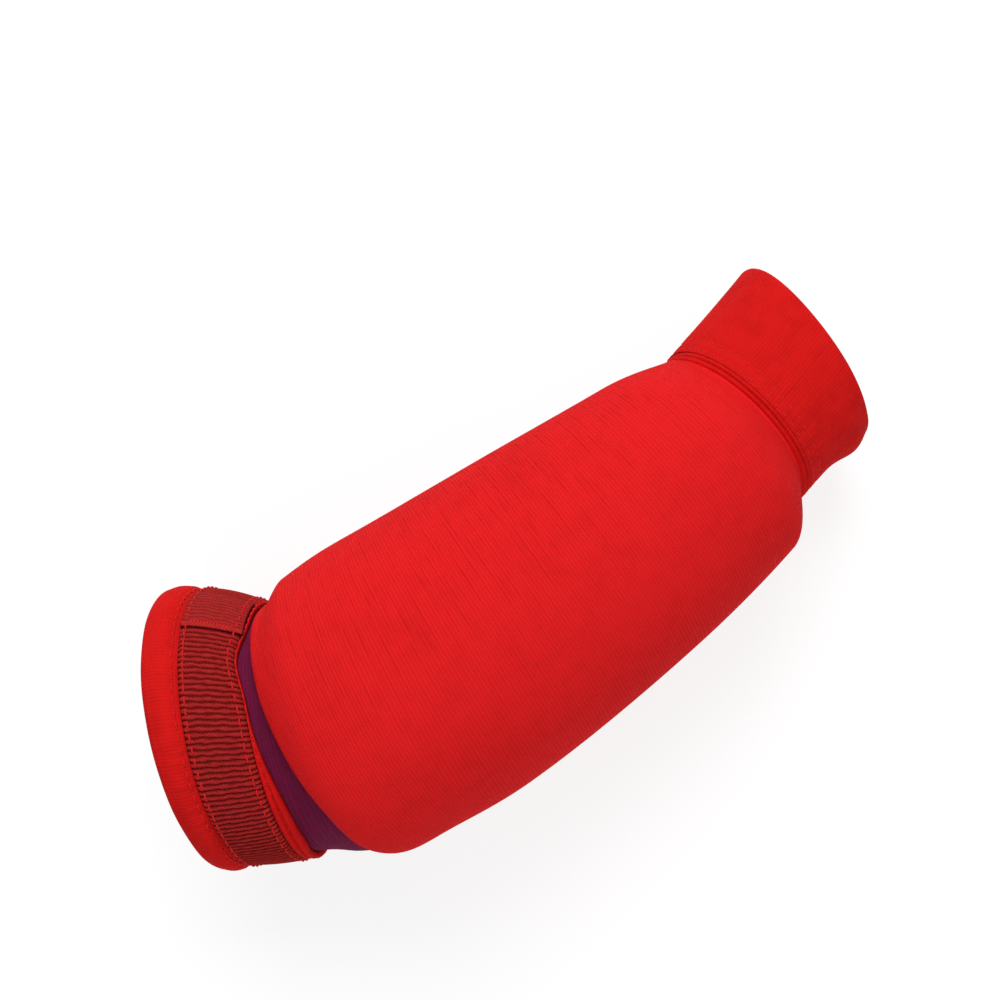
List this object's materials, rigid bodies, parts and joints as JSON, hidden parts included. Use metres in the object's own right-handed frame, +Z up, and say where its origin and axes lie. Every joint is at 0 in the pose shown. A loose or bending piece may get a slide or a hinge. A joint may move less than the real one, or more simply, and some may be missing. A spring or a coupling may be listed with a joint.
{
  "type": "padded forearm guard",
  "caption": "Pull-on knit forearm guard with a foam pad under a smooth cover, a ribbed elastic band at the elbow end and a folded cuff at the wrist.",
  "frame": {"origin": "on the surface that the guard lies on, under the middle of its box", "axes": "+X from the elbow mouth to the wrist mouth, +Z up out of the crown of the pad, +Y to the inside of the bend"},
  "size_m": [0.2812, 0.1292, 0.1169],
  "materials": {
    "cover_knit": "matte",
    "panel_knit": "matte",
    "hem_knit": "matte",
    "rib_elastic": "matte",
    "thread": "satin",
    "elastic_tape": "matte",
    "foam": "matte"
  },
  "bodies": {
    "root": {"sleeve_back_panel": "panel_knit", "sleeve_front_panel": "panel_knit", "foam_pad": "foam", "pad_cover": "cover_knit", "elbow_hem": "hem_knit", "elbow_hem_elastic": "elastic_tape", "rib_band": "rib_elastic", "rib_band_lap": "rib_elastic", "rib_lap_tack": "thread", "elbow_binding": "hem_knit", "wrist_cuff": "hem_knit", "wrist_cuff_elastic": "elastic_tape", "wrist_welt": "hem_knit", "hem_stitching": "thread", "rib_stitching": "thread", "binding_stitching": "thread", "wrist_stitching": "thread", "inner_side_stitching": "thread", "outer_side_stitching": "thread"}
  },
  "joints": []
}
